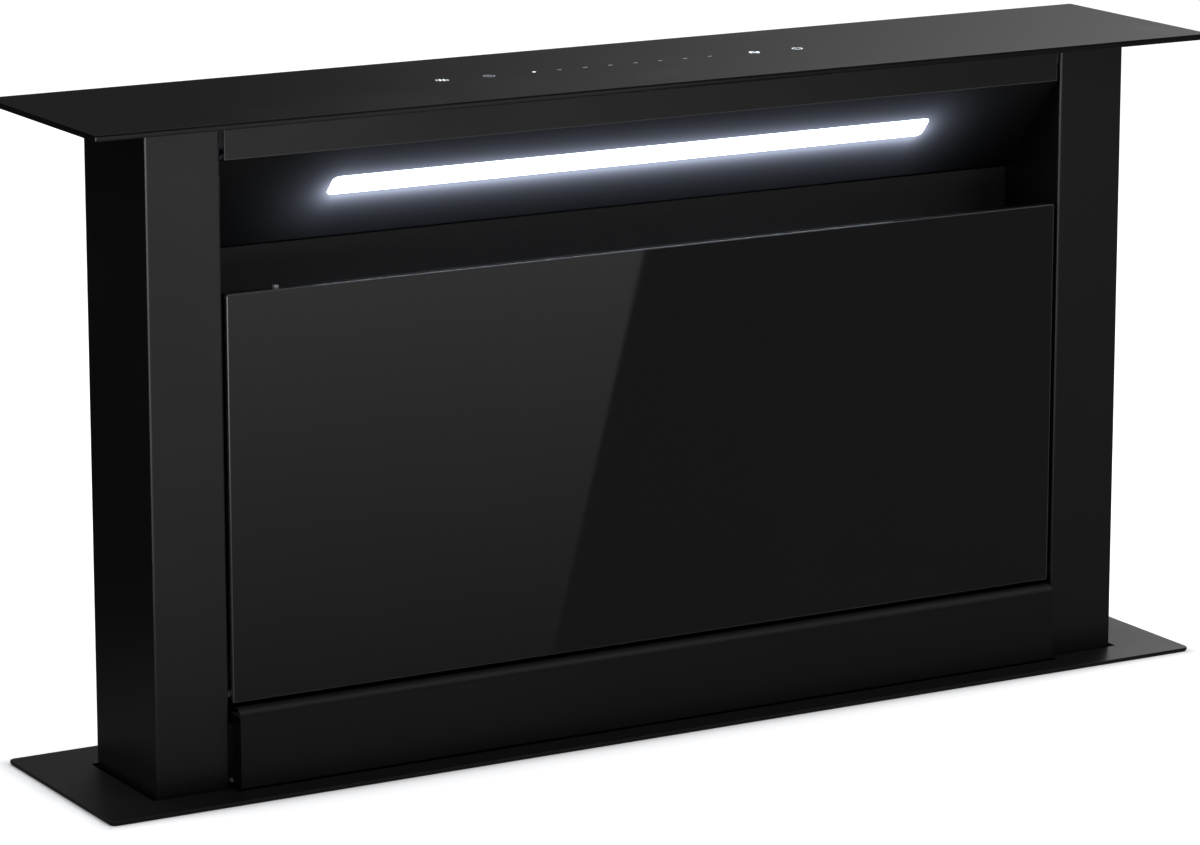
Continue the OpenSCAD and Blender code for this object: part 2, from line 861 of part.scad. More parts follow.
module hinge_pins() {
    inner = between_x - 12;
    color(steel) mirrored() rod_x(pin_r, inner, column_in + sheet, hinge_y, hinge_z);
}

// Spring catch on the door's top edge
module latch_stud() {
    color(alloy) translate([-latch_x, carrier_y + carrier_d / 2, door_top - 1]) cylinder(r = latch_r, h = 2.4);
}

flange();
flange_seal();
cassette_front();
cassette_rear();
cassette_side_left();
cassette_side_right();
cassette_base();
guide_rail_left();
guide_rail_right();
worktop_clamps();
cabinet_brackets();
cassette_screws();
shaft_bearings();
cross_shaft();
drive_pulleys();
idler_brackets();
idler_left();
idler_right();
belt_left();
belt_right();
lift_motor();
power_box();
mains_inlet();
blower_case();
blower_cover();
scroll();
inlet_ring();
fan_motor();
impeller();
fan_shaft();
duct_collar();
flap_pin();
flap_front();
flap_rear();
top_glass();
top_tray();
touch_board();
control_marks();
left_column();
right_column();
header_panel();
lamp_panel();
lamp_lens();
led_board();
back_wall();
rear_cover();
rear_screws();
kick_panel();
lower_beam();
drip_tray();
filter_rail();
filter_frames();
filter_mesh();
glide_shoes();
belt_clamps();
foot_screws();
door_glass();
door_carrier();
hinge_pins();
latch_stud();
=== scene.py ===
import math
import bpy
import bmesh
from mathutils import Matrix, Vector


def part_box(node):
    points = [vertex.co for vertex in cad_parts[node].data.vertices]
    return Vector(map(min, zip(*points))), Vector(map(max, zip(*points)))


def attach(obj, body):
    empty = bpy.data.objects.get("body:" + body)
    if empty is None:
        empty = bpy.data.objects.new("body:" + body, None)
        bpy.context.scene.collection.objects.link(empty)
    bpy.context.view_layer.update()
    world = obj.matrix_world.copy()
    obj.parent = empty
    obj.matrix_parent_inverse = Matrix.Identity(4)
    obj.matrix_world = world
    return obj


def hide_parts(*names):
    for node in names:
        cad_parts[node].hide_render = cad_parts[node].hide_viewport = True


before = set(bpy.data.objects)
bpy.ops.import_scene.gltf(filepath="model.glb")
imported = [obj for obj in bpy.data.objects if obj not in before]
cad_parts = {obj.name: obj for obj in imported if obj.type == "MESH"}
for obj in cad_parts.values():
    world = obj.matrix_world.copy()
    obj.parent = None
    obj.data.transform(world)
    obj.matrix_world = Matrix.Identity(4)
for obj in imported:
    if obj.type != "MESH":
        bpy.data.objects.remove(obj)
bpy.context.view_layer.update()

mm = 0.001


# camera, at the photograph's angle
cameraSizes = {"place": (-1.7871, -3.0649, 1.0152), "turn": 0.5236, "tilt": 0.2240, "focalPixels": 5160.2}


def setCamera():
    data = bpy.data.cameras.new("camera")
    data.sensor_width = 36
    data.lens = cameraSizes["focalPixels"] / 1200 * 36
    data.clip_end = 60
    cam = bpy.data.objects.new("camera", data)
    bpy.context.scene.collection.objects.link(cam)
    turn, tilt = cameraSizes["turn"], cameraSizes["tilt"]
    forward = Vector((math.sin(turn) * math.cos(tilt), math.cos(turn) * math.cos(tilt), -math.sin(tilt)))
    cam.rotation_euler = forward.to_track_quat("-Z", "Y").to_euler()
    cam.location = cameraSizes["place"]
    bpy.context.scene.camera = cam


# node helpers
def feed(links, socket, term):
    if isinstance(term, (int, float)):
        socket.default_value = term
    else:
        links.new(term, socket)


def ramp(nodes, links, source, start, end, low=0.0, high=1.0, smooth=False):
    node = nodes.new("ShaderNodeMapRange")
    node.interpolation_type = "SMOOTHSTEP" if smooth else "LINEAR"
    links.new(source, node.inputs["Value"])
    for label, value in (("From Min", start), ("From Max", end), ("To Min", low), ("To Max", high)):
        feed(links, node.inputs[label], value)
    return node.outputs[0]


def calc(nodes, links, operation, *terms):
    node = nodes.new("ShaderNodeMath")
    node.operation = operation
    for socket, term in zip(node.inputs, terms):
        feed(links, socket, term)
    return node.outputs[0]


def noise(nodes, links, vector, scale, detail, rough=0.5):
    node = nodes.new("ShaderNodeTexNoise")
    node.inputs["Detail"].default_value = detail
    node.inputs["Roughness"].default_value = rough
    links.new(vector, node.inputs["Vector"])
    feed(links, node.inputs["Scale"], scale)
    return node


def objectPoint(nodes):
    return nodes.new("ShaderNodeTexCoord").outputs["Object"]


def axesOf(nodes, links, vector):
    split = nodes.new("ShaderNodeSeparateXYZ")
    links.new(vector, split.inputs[0])
    return split.outputs


def beyond(nodes, links, source, limit):
    # how far a value lies past a limit, or nought
    return calc(nodes, links, "MAXIMUM", calc(nodes, links, "SUBTRACT", source, limit), 0.0)


def distance(nodes, links, *gaps):
    total = 0.0
    for gap in gaps:
        total = calc(nodes, links, "MULTIPLY_ADD", gap, gap, total)
    return calc(nodes, links, "SQRT", total)


def fade(nodes, links, away, reach):
    return calc(nodes, links, "EXPONENT", calc(nodes, links, "DIVIDE", away, -reach))


def softArea(nodes, links, axes, spanX, spanY):
    return calc(nodes, links, "MULTIPLY", ramp(nodes, links, axes["X"], *spanX, smooth=True),
                ramp(nodes, links, axes["Y"], *spanY, smooth=True))


# shader groups
coatLook = {"fineDetail": 3, "fineShare": 0.35, "slowScale": 9.0, "slowDetail": 4, "slowShare": 0.65,
            "from": 0.3, "to": 0.7}
dustLook = {"detail": 6, "rough": 0.6, "from": 0.52, "to": 0.78}
# painted edge highlight: the mask's samples, span and radius, and the lighter colour laid along edges
edgeHighlightLook = {"samples": 6, "from": 0.995, "to": 0.88, "radius": 0.0012, "color": (0.16, 0.16, 0.165)}


def newGroup(name, inputs, outputs):
    group = bpy.data.node_groups.new(name, "ShaderNodeTree")
    for label, value in inputs:
        socket = group.interface.new_socket(name=label, in_out="INPUT", socket_type="NodeSocketFloat")
        socket.default_value = value
    for label in outputs:
        group.interface.new_socket(name=label, in_out="OUTPUT", socket_type="NodeSocketFloat")
    return group, group.nodes.new("NodeGroupInput"), group.nodes.new("NodeGroupOutput")


def makeCoatGrain():
    # fine orange-peel of a sprayed coat, with a slow drift in gloss
    group, given, out = newGroup("coatGrain", [("Size", 900.0), ("Gloss Low", 0.3), ("Gloss High", 0.5)],
                                 ["Roughness", "Height"])
    nodes, links = group.nodes, group.links
    where = objectPoint(nodes)
    fine = noise(nodes, links, where, given.outputs["Size"], coatLook["fineDetail"]).outputs["Fac"]
    slow = noise(nodes, links, where, coatLook["slowScale"], coatLook["slowDetail"]).outputs["Fac"]
    slow = calc(nodes, links, "MULTIPLY", slow, coatLook["slowShare"])
    blend = calc(nodes, links, "MULTIPLY_ADD", fine, coatLook["fineShare"], slow)
    gloss = ramp(nodes, links, blend, coatLook["from"], coatLook["to"],
                 given.outputs["Gloss Low"], given.outputs["Gloss High"])
    links.new(gloss, out.inputs["Roughness"])
    links.new(fine, out.inputs["Height"])
    return group


def makeBrushLines():
    # long fine scratches along x, as a brushed or rolled sheet has
    group, given, out = newGroup("brushLines", [("Along", 6.0), ("Across", 2200.0)], ["Line"])
    nodes, links = group.nodes, group.links
    stretch = nodes.new("ShaderNodeCombineXYZ")
    for axis, label in (("X", "Along"), ("Y", "Across"), ("Z", "Across")):
        links.new(given.outputs[label], stretch.inputs[axis])
    scaled = nodes.new("ShaderNodeVectorMath")
    scaled.operation = "MULTIPLY"
    links.new(objectPoint(nodes), scaled.inputs[0])
    links.new(stretch.outputs[0], scaled.inputs[1])
    lines = noise(nodes, links, scaled.outputs[0], 1.0, 4)
    links.new(lines.outputs["Fac"], out.inputs["Line"])
    return group


def makeDustSpots():
    # faint dust and finger marks as a mask
    group, given, out = newGroup("dustSpots", [("Size", 24.0), ("Amount", 0.3)], ["Mask"])
    nodes, links = group.nodes, group.links
    wide = noise(nodes, links, objectPoint(nodes), given.outputs["Size"],
                 dustLook["detail"], dustLook["rough"]).outputs["Fac"]
    mask = ramp(nodes, links, wide, dustLook["from"], dustLook["to"], 0.0, given.outputs["Amount"])
    links.new(mask, out.inputs["Mask"])
    return group


def makeEdgeHighlightMask():
    # a painted highlight mask, bright where two faces meet, from the difference between rounded and true
    # normals; it lightens the base colour along edges in place of the light they catch
    group, given, out = newGroup("paintedEdgeHighlight", [("Radius", 0.0008), ("Amount", 1.0)], ["Mask"])
    nodes, links = group.nodes, group.links
    rounded = nodes.new("ShaderNodeBevel")
    rounded.samples = edgeHighlightLook["samples"]
    links.new(given.outputs["Radius"], rounded.inputs["Radius"])
    flat = nodes.new("ShaderNodeNewGeometry")
    same = nodes.new("ShaderNodeVectorMath")
    same.operation = "DOT_PRODUCT"
    links.new(rounded.outputs["Normal"], same.inputs[0])
    links.new(flat.outputs["True Normal"], same.inputs[1])
    mask = ramp(nodes, links, same.outputs["Value"], edgeHighlightLook["from"], edgeHighlightLook["to"],
                0.0, given.outputs["Amount"])
    links.new(mask, out.inputs["Mask"])
    return group


# materials
def newMaterial(name):
    mat = bpy.data.materials.new(name)
    mat.use_nodes = True
    return mat, mat.node_tree.nodes, mat.node_tree.links, mat.node_tree.nodes["Principled BSDF"]


def place(nodes, group, **values):
    node = nodes.new("ShaderNodeGroup")
    node.node_tree = group
    for label, value in values.items():
        node.inputs[label.replace("_", " ")].default_value = value
    return node


def mixColors(nodes, links, mask, low, high):
    mix = nodes.new("ShaderNodeMix")
    mix.data_type = "RGBA"
    links.new(mask, mix.inputs["Factor"])
    for label, color in (("A", low), ("B", high)):
        if isinstance(color, tuple):
            mix.inputs[label].default_value = (*color, 1)
        else:
            links.new(color, mix.inputs[label])
    return mix.outputs["Result"]


def softEdges(nodes, links, bsdf, radius, height=None, depth=0.0):
    # rounds sharp edges in the shading, and adds a fine bump
    rounded = nodes.new("ShaderNodeBevel")
    rounded.samples = 4
    rounded.inputs["Radius"].default_value = radius
    if height is None:
        links.new(rounded.outputs["Normal"], bsdf.inputs["Normal"])
        return
    bump = nodes.new("ShaderNodeBump")
    bump.inputs["Strength"].default_value = 0.6
    bump.inputs["Distance"].default_value = depth
    links.new(height, bump.inputs["Height"])
    links.new(rounded.outputs["Normal"], bump.inputs["Normal"])
    links.new(bump.outputs["Normal"], bsdf.inputs["Normal"])


def satinCoat(name, low, high, gloss, grain=900.0, depth=0.00002, edge=0.0006, specular=0.5, paintedGlint=0.0):
    mat, nodes, links, bsdf = newMaterial(name)
    coat = place(nodes, coatGrain, Size=grain, Gloss_Low=gloss[0], Gloss_High=gloss[1])
    dust = place(nodes, dustSpots, Size=18.0, Amount=0.5)
    color = mixColors(nodes, links, dust.outputs["Mask"], low, high)
    # painted highlight: a lighter base colour along the edges, standing in for the highlight lines they catch
    if paintedGlint:
        glintMask = place(nodes, paintedEdgeHighlight, Radius=edgeHighlightLook["radius"], Amount=paintedGlint)
        color = mixColors(nodes, links, glintMask.outputs["Mask"], color, edgeHighlightLook["color"])
    links.new(color, bsdf.inputs["Base Color"])
    links.new(coat.outputs["Roughness"], bsdf.inputs["Roughness"])
    bsdf.inputs["Specular IOR Level"].default_value = specular
    softEdges(nodes, links, bsdf, edge, coat.outputs["Height"], depth)
    return mat


def darkGlass(name, color, smear, gloss, specular):
    mat, nodes, links, bsdf = newMaterial(name)
    marks = place(nodes, dustSpots, Size=7.0, Amount=1.0).outputs["Mask"]
    links.new(ramp(nodes, links, marks, 0.0, 1.0, *gloss), bsdf.inputs["Roughness"])
    links.new(mixColors(nodes, links, marks, color, smear), bsdf.inputs["Base Color"])
    bsdf.inputs["IOR"].default_value = 1.5
    bsdf.inputs["Specular IOR Level"].default_value = specular
    softEdges(nodes, links, bsdf, 0.0004)
    return mat


def bareMetal(name, low, high, gloss, along=6.0, across=2200.0):
    mat, nodes, links, bsdf = newMaterial(name)
    lines = place(nodes, brushLines, Along=along, Across=across).outputs["Line"]
    links.new(mixColors(nodes, links, lines, low, high), bsdf.inputs["Base Color"])
    links.new(ramp(nodes, links, lines, 0.0, 1.0, *gloss), bsdf.inputs["Roughness"])
    bsdf.inputs["Metallic"].default_value = 0.7
    softEdges(nodes, links, bsdf, 0.0004, lines, 0.00001)
    return mat


zincLook = {"bend": 60.0, "shift": 0.012, "cells": 85.0, "gloss": (0.34, 0.5),
            "low": (0.40, 0.42, 0.43), "high": (0.58, 0.60, 0.61)}


def zincSheet(name):
    # galvanised sheet: flat crystals of slightly different greys
    mat, nodes, links, bsdf = newMaterial(name)
    where = objectPoint(nodes)
    bend = noise(nodes, links, where, zincLook["bend"], 2)
    shifted = nodes.new("ShaderNodeVectorMath")
    shifted.operation = "MULTIPLY_ADD"
    shifted.inputs[1].default_value = [zincLook["shift"]] * 3
    links.new(bend.outputs["Color"], shifted.inputs[0])
    links.new(where, shifted.inputs[2])
    cells = nodes.new("ShaderNodeTexVoronoi")
    cells.inputs["Scale"].default_value = zincLook["cells"]
    links.new(shifted.outputs[0], cells.inputs["Vector"])
    grey = nodes.new("ShaderNodeSeparateColor")
    links.new(cells.outputs["Color"], grey.inputs[0])
    color = mixColors(nodes, links, grey.outputs[0], zincLook["low"], zincLook["high"])
    links.new(color, bsdf.inputs["Base Color"])
    links.new(ramp(nodes, links, grey.outputs[1], 0.0, 1.0, *zincLook["gloss"]), bsdf.inputs["Roughness"])
    bsdf.inputs["Metallic"].default_value = 0.7
    softEdges(nodes, links, bsdf, 0.0004)
    return mat


lampSizes = {"middle": (0.0, -0.0195, 0.3985), "length": 0.478, "width": 0.019, "strength": 7.0,
             "white": 0.0020, "blue": 0.0066, "tint": (0.62, 0.78, 1.0)}
# painted halo on the sheet round the lit strip: strength and reach of its near and wide glow, and its tint
paintedHaloSizes = {"near": 0.50, "nearReach": 0.005, "wide": 0.14, "wideReach": 0.016, "tint": (0.68, 0.76, 1.0)}


def lampLens(name):
    # lit strip, white in the middle and bluish towards its long edges
    mat, nodes, links, bsdf = newMaterial(name)
    axes = axesOf(nodes, links, objectPoint(nodes))
    away = calc(nodes, links, "SUBTRACT", axes["Y"], lampSizes["middle"][1])
    away = calc(nodes, links, "ABSOLUTE", away)
    across = ramp(nodes, links, away, lampSizes["white"], lampSizes["blue"], smooth=True)
    color = mixColors(nodes, links, across, (1.0, 1.0, 1.0), lampSizes["tint"])
    links.new(color, bsdf.inputs["Emission Color"])
    bsdf.inputs["Emission Strength"].default_value = lampSizes["strength"]
    bsdf.inputs["Base Color"].default_value = (0.8, 0.84, 0.9, 1)
    bsdf.inputs["Roughness"].default_value = 0.5
    return mat


def paintedHaloPanel(name):
    # black sheet round the lit strip, with a painted glow: bluish emission that falls off with distance from
    # the strip, in place of the strip's light spreading over it
    mat, nodes, links, bsdf = newMaterial(name)
    axes = axesOf(nodes, links, objectPoint(nodes))
    y, z = lampSizes["middle"][1:]
    straight = (lampSizes["length"] - lampSizes["width"]) / 2
    past = beyond(nodes, links, calc(nodes, links, "ABSOLUTE", axes["X"]), straight)
    offY = calc(nodes, links, "SUBTRACT", axes["Y"], y)
    offZ = calc(nodes, links, "SUBTRACT", axes["Z"], z)
    away = beyond(nodes, links, distance(nodes, links, past, offY, offZ), lampSizes["width"] / 2)
    # painted glow: emission set only by distance from the strip
    near = calc(nodes, links, "MULTIPLY", fade(nodes, links, away, paintedHaloSizes["nearReach"]), paintedHaloSizes["near"])
    wide = fade(nodes, links, away, paintedHaloSizes["wideReach"])
    total = calc(nodes, links, "MULTIPLY_ADD", wide, paintedHaloSizes["wide"], near)
    links.new(mixColors(nodes, links, total, (0, 0, 0), paintedHaloSizes["tint"]), bsdf.inputs["Emission Color"])
    bsdf.inputs["Emission Strength"].default_value = 1.0
    coat = place(nodes, coatGrain, Size=900.0, Gloss_Low=0.45, Gloss_High=0.6)
    dust = place(nodes, dustSpots, Size=18.0, Amount=0.5)
    links.new(mixColors(nodes, links, dust.outputs["Mask"], (0.003, 0.003, 0.0034), (0.004, 0.004, 0.0045)),
              bsdf.inputs["Base Color"])
    links.new(coat.outputs["Roughness"], bsdf.inputs["Roughness"])
    softEdges(nodes, links, bsdf, 0.0005, coat.outputs["Height"], 0.00002)
    return mat


def litMark(name, color, strength):
    mat, nodes, links, bsdf = newMaterial(name)
    grain = place(nodes, coatGrain, Size=600.0, Gloss_Low=0.4, Gloss_High=0.6)
    links.new(grain.outputs["Roughness"], bsdf.inputs["Roughness"])
    bsdf.inputs["Base Color"].default_value = (*color, 1)
    bsdf.inputs["Emission Color"].default_value = (*color, 1)
    bsdf.inputs["Emission Strength"].default_value = strength
    return mat


coatGrain = makeCoatGrain()
brushLines = makeBrushLines()
dustSpots = makeDustSpots()
paintedEdgeHighlight = makeEdgeHighlightMask()

# columns and header: satin black with a painted highlight along their edges
columnPaint = satinCoat("columnPaint", (0.0028, 0.0027, 0.0029), (0.0040, 0.0038, 0.0041), (0.28, 0.38),
                        specular=0.85, paintedGlint=0.55)
panelPaint = satinCoat("panelPaint", (0.0050, 0.0049, 0.0053), (0.0068, 0.0066, 0.0071), (0.34, 0.44))
flangePaint = satinCoat("flangePaint", (0.0060, 0.0058, 0.0060), (0.0085, 0.0082, 0.0085), (0.30, 0.40))
innerPaint = satinCoat("innerPaint", (0.018, 0.018, 0.019), (0.023, 0.023, 0.024), (0.45, 0.6))
coverGlass = darkGlass("coverGlass", (0.0050, 0.0047, 0.0049), (0.0075, 0.0072, 0.0074), (0.16, 0.22), 0.4)
doorGlass = darkGlass("doorGlass", (0.0042, 0.0040, 0.0047), (0.0052, 0.0050, 0.0056), (0.02, 0.05), 0.62)
glassEdge = darkGlass("glassEdge", (0.040, 0.044, 0.048), (0.060, 0.064, 0.068), (0.10, 0.18), 1.0)
lampPanelHaloPaint = paintedHaloPanel("lampPanelHaloPaint")
brightSteel = bareMetal("brightSteel", (0.42, 0.43, 0.44), (0.60, 0.61, 0.62), (0.24, 0.38))
plainAlloy = bareMetal("plainAlloy", (0.56, 0.57, 0.58), (0.72, 0.73, 0.74), (0.28, 0.42))
zincPlate = zincSheet("zincPlate")
mouldedPlastic = satinCoat("mouldedPlastic", (0.022, 0.023, 0.025), (0.034, 0.035, 0.037), (0.42, 0.58),
                           grain=1400.0, depth=0.00004, edge=0.0010)
blackRubber = satinCoat("blackRubber", (0.012, 0.012, 0.012), (0.022, 0.021, 0.020), (0.62, 0.8),
                        grain=1800.0, depth=0.00005, edge=0.0005)
slidePlastic = satinCoat("slidePlastic", (0.62, 0.62, 0.59), (0.70, 0.70, 0.67), (0.38, 0.5), grain=700.0)
greenBoard = satinCoat("greenBoard", (0.010, 0.09, 0.035), (0.016, 0.12, 0.05), (0.25, 0.4), grain=1500.0)
stripLens = lampLens("stripLens")
brightMark = litMark("brightMark", (0.86, 0.93, 1.0), 0.95)
dimMark = litMark("dimMark", (0.50, 0.55, 0.62), 0.16)

finishes = {
    columnPaint: ["left_column", "right_column", "header_panel"],
    panelPaint: ["kick_panel", "door_carrier", "lower_beam", "rear_cover", "top_tray"],
    innerPaint: ["back_wall"],
    lampPanelHaloPaint: ["lamp_panel"],
    coverGlass: ["top_glass"],
    doorGlass: ["door_glass"],
    flangePaint: ["flange"],
    brightSteel: ["guide_rail_left", "guide_rail_right", "worktop_clamps", "cabinet_brackets",
                  "cassette_screws", "cross_shaft", "idler_brackets", "fan_shaft", "flap_pin", "rear_screws",
                  "drip_tray", "filter_rail", "filter_mesh", "belt_clamps", "hinge_pins"],
    plainAlloy: ["drive_pulleys", "idler_left", "idler_right", "filter_frames", "foot_screws", "latch_stud",
                 "led_board"],
    zincPlate: ["cassette_front", "cassette_rear", "cassette_side_left", "cassette_side_right",
                "cassette_base", "blower_case", "blower_cover", "scroll"],
    mouldedPlastic: ["shaft_bearings", "lift_motor", "power_box", "mains_inlet", "inlet_ring", "fan_motor",
                     "impeller", "duct_collar", "flap_front", "flap_rear"],
    blackRubber: ["flange_seal", "belt_left", "belt_right"],
    slidePlastic: ["glide_shoes"],
    greenBoard: ["touch_board"],
    stripLens: ["lamp_lens"],
    brightMark: ["control_marks"],
}


def dressNodes():
    for mat, names in finishes.items():
        for name in names:
            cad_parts[name].data.materials.clear()
            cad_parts[name].data.materials.append(mat)
    print("finishes on", sum(len(v) for v in finishes.values()), "nodes")


# mesh helpers
def linkMesh(name, mesh):
    piece = bpy.data.objects.new(name, mesh)
    bpy.context.scene.collection.objects.link(piece)
    return piece


def roundRect(width, depth, radius, steps=5):
    points = []
    for sx, sy, start in ((1, 1, 0), (-1, 1, 90), (-1, -1, 180), (1, -1, 270)):
        for i in range(steps + 1):
            a = math.radians(start + 90 * i / steps)
            points.append((sx * (width / 2 - radius) + radius * math.cos(a),
                           sy * (depth / 2 - radius) + radius * math.sin(a)))
    return points


def bevelledPlate(name, outlines, thickness, bevel, mats):
    # a flat plate from one outline and its holes, with a small round on each edge; lies on z = 0
    curve = bpy.data.curves.new(name, "CURVE")
    curve.dimensions = "2D"
    curve.fill_mode = "BOTH"
    curve.extrude = thickness / 2 - bevel
    curve.bevel_depth = bevel
    curve.bevel_resolution = 2
    curve.offset = -bevel
    for outline in outlines:
        spline = curve.splines.new("POLY")
        spline.points.add(len(outline) - 1)
        for point, (x, y) in zip(spline.points, outline):
            point.co = (x, y, 0, 1)
        spline.use_cyclic_u = True
    holder = bpy.data.objects.new(name + "Curve", curve)
    bpy.context.scene.collection.objects.link(holder)
    bpy.context.view_layer.update()
    mesh = bpy.data.meshes.new_from_object(holder.evaluated_get(bpy.context.evaluated_depsgraph_get()))
    bpy.data.objects.remove(holder)
    mesh.name = name
    work = bmesh.new()
    work.from_mesh(mesh)
    bmesh.ops.remove_doubles(work, verts=work.verts, dist=1e-6)
    bmesh.ops.recalc_face_normals(work, faces=work.faces)
    work.to_mesh(mesh)
    work.free()
    mesh.transform(Matrix.Translation((0, 0, thickness / 2)))
    mesh.materials.clear()
    for mat in mats:
        mesh.materials.append(mat)
    return linkMesh(name, mesh)


def addPrism(work, points, low, high, slot=0):
    bottom = [work.verts.new((x, y, low)) for x, y in points]
    top = [work.verts.new((x, y, high)) for x, y in points]
    count = len(points)
    faces = [work.faces.new(top), work.faces.new(list(reversed(bottom)))]
    for i in range(count):
        j = (i + 1) % count
        faces.append(work.faces.new((bottom[i], bottom[j], top[j], top[i])))
    for face in faces:
        face.material_index = slot


def addArc(work, center, inner, outer, start, end, low, high, slot=0, steps=20):
    for i in range(steps):
        a, b = (math.radians(start + (end - start) * k / steps) for k in (i, i + 1))
        ring = [(center[0] + r * math.cos(t), center[1] + r * math.sin(t))
                for r, t in ((inner, a), (outer, a), (outer, b), (inner, b))]
        addPrism(work, ring, low, high, slot)


def addBar(work, center, length, width, angle, low, high, slot=0):
    c, s = math.cos(math.radians(angle)), math.sin(math.radians(angle))
    corners = [(center[0] + c * u - s * v, center[1] + s * u + c * v)
               for u, v in ((-length / 2, -width / 2), (length / 2, -width / 2),
                            (length / 2, width / 2), (-length / 2, width / 2))]
    addPrism(work, corners, low, high, slot)


def addDisc(work, center, radius, low, high, slot=0, steps=20):
    addPrism(work, [(center[0] + radius * math.cos(2 * math.pi * i / steps),
                     center[1] + radius * math.sin(2 * math.pi * i / steps)) for i in range(steps)],
             low, high, slot)


def meshFrom(name, work, mats):
    bmesh.ops.recalc_face_normals(work, faces=work.faces)
    mesh = bpy.data.meshes.new(name)
    work.to_mesh(mesh)
    work.free()
    for mat in mats:
        mesh.materials.append(mat)
    return linkMesh(name, mesh)


# glass cover, door glass and flange
coverSizes = {"width": 880 * mm, "depth": 174 * mm, "corner": 1.5 * mm, "bevel": 0.5 * mm}
doorSizes = {"corner": 1.2 * mm, "bevel": 0.8 * mm}
flangeSizes = {"width": 876 * mm, "depth": 170 * mm, "corner": 5 * mm, "bevel": 0.35 * mm,
               "gapX": 4 * mm, "gapY": 2 * mm, "kickGap": 3 * mm}


def makeCover():
    low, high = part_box("top_glass")
    outline = roundRect(coverSizes["width"], coverSizes["depth"], coverSizes["corner"])
    piece = bevelledPlate("coverPlate", [outline], high[2] - low[2], coverSizes["bevel"], [coverGlass])
    piece.data.transform(Matrix.Translation((0, 0, low[2])))
    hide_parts("top_glass")
    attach(piece, "tower")


def makeDoorPane():
    low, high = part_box("door_glass")
    width, height, thick = high[0] - low[0], high[2] - low[2], high[1] - low[1]
    piece = bevelledPlate("doorPane", [roundRect(width, height, doorSizes["corner"])], thick,
                          doorSizes["bevel"], [doorGlass, glassEdge])
    for face in piece.data.polygons:
        face.material_index = 1 if abs(face.normal.z) < 0.97 else 0
    upright = Matrix.Translation((0, high[1], (low[2] + high[2]) / 2)) @ Matrix.Rotation(math.pi / 2, 4, "X")
    piece.data.transform(upright)
    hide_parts("door_glass")
    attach(piece, "door")


def makeFlange():
    low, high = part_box("flange")
    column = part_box("right_column")
    kickLow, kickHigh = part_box("kick_panel")
    x1 = column[1][0] + flangeSizes["gapX"]
    y0, y1 = column[0][1] - flangeSizes["gapY"], column[1][1] + flangeSizes["gapY"]
    kx, ky = kickHigh[0] + flangeSizes["kickGap"], kickLow[1] - flangeSizes["gapY"]
    hole = [(-x1, y1), (-x1, y0), (-kx, y0), (-kx, ky), (kx, ky), (kx, y0), (x1, y0), (x1, y1)]
    outline = roundRect(flangeSizes["width"], flangeSizes["depth"], flangeSizes["corner"])
    thick = high[2] - low[2]
    piece = bevelledPlate("trimFlange", [outline, hole], thick, flangeSizes["bevel"], [flangePaint])
    piece.data.transform(Matrix.Translation((0, 0, low[2])))
    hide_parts("flange")
    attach(piece, "cassette")


# touch marks printed under the cover's face
markSizes = {"row": 0.5 * mm, "high": 0.06 * mm, "line": 0.55 * mm, "first": -69.7 * mm, "pitch": 20.2 * mm,
             "lamp": -141.5 * mm, "timer": -105 * mm, "fan": 108.2 * mm, "power": 143.9 * mm}


def makeTouchMarks():
    z0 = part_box("control_marks")[0][2]
    z1 = z0 + markSizes["high"]
    y, line = markSizes["row"], markSizes["line"]
    work = bmesh.new()
    # lamp: a small ring with rays
    x = markSizes["lamp"]
    addArc(work, (x, y), 1.5 * mm, 2.1 * mm, 0, 360, z0, z1)
    for i in range(8):
        a = math.pi / 4 * i
        addBar(work, (x + 3.9 * mm * math.cos(a), y + 3.9 * mm * math.sin(a)), 2.1 * mm, line, 45 * i, z0, z1)
    # timer: a dim dial with its hand
    x = markSizes["timer"]
    addArc(work, (x, y), 3.7 * mm, 4.2 * mm, 0, 360, z0, z1, 1)
    addBar(work, (x, y + 1.3 * mm), 2.6 * mm, line, 90, z0, z1, 1)
    addBar(work, (x + 0.9 * mm, y), 1.8 * mm, line, 0, z0, z1, 1)
    # speed: one bright dot and seven dim dashes
    addDisc(work, (markSizes["first"], y), 1.4 * mm, z0, z1)
    for i in range(1, 8):
        addBar(work, (markSizes["first"] + markSizes["pitch"] * i, y), 3.4 * mm, 0.8 * mm, 0, z0, z1, 1)
    # fan: four blades round a hub
    x = markSizes["fan"]
    addDisc(work, (x, y), 0.9 * mm, z0, z1)
    for i in range(4):
        a = math.radians(90 * i + 20)
        addArc(work, (x + 2.6 * mm * math.cos(a), y + 2.6 * mm * math.sin(a)), 0.7 * mm, 1.9 * mm,
               90 * i - 120, 90 * i + 90, z0, z1, 0, 10)
    # power: an open ring and a bar
    x = markSizes["power"]
    addArc(work, (x, y), 3.3 * mm, 3.9 * mm, 120, 420, z0, z1)
    addBar(work, (x, y + 3.0 * mm), 3.6 * mm, line, 90, z0, z1)
    piece = meshFrom("touchMarks", work, [brightMark, dimMark])
    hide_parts("control_marks")
    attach(piece, "tower")


